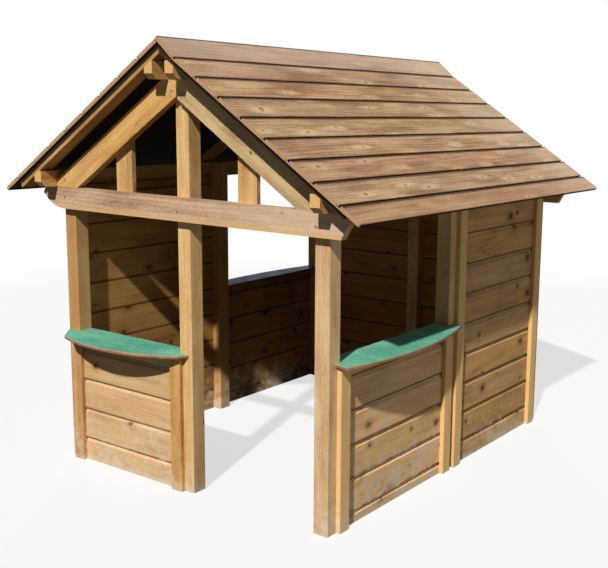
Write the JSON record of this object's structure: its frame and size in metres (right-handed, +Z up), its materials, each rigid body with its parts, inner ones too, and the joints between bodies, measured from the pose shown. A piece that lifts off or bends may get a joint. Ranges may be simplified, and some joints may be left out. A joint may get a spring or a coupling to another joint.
{
  "type": "garden playhouse",
  "caption": "Open wooden playhouse with a boarded gable roof on square posts, low shiplap walls with shop counters, wide window openings and an open doorway.",
  "frame": {"origin": "on the floor under the middle of the overall size", "axes": "+X to the right as seen from the gable with the doorway, +Y towards the back along the ridge, +Z up"},
  "size_m": [1.9668, 2.1079, 1.8897],
  "materials": {
    "frame_timber": "matte",
    "beam_timber": "matte",
    "roof_board": "matte",
    "wall_board": "matte",
    "green_paint": "matte",
    "blue_paint": "matte"
  },
  "bodies": {
    "root": {"back_centre_post": "frame_timber", "back_left_battens": "wall_board", "back_left_boards": "wall_board", "back_left_post": "frame_timber", "back_left_rafter": "frame_timber", "back_left_strut": "frame_timber", "back_right_battens": "wall_board", "back_right_boards": "wall_board", "back_right_post": "frame_timber", "back_right_rafter": "frame_timber", "back_right_strut": "frame_timber", "back_tie_beam": "beam_timber", "front_centre_post": "frame_timber", "front_counter": "green_paint", "front_left_post": "frame_timber", "front_left_rafter": "frame_timber", "front_left_strut": "frame_timber", "front_low_battens": "wall_board", "front_low_boards": "wall_board", "front_right_post": "frame_timber", "front_right_rafter": "frame_timber", "front_right_strut": "frame_timber", "front_tie_beam": "beam_timber", "left_counter": "blue_paint", "left_eave_purlin": "frame_timber", "left_low_battens": "wall_board", "left_low_boards": "wall_board", "left_mid_post": "frame_timber", "left_ridge_purlin": "frame_timber", "left_roof_battens": "frame_timber", "left_roof_boards": "roof_board", "left_tall_battens": "wall_board", "left_tall_boards": "wall_board", "right_counter": "green_paint", "right_eave_purlin": "frame_timber", "right_low_battens": "wall_board", "right_low_boards": "wall_board", "right_mid_post": "frame_timber", "right_ridge_purlin": "frame_timber", "right_roof_battens": "frame_timber", "right_roof_boards": "roof_board", "right_tall_battens": "wall_board", "right_tall_boards": "wall_board"}
  },
  "joints": []
}
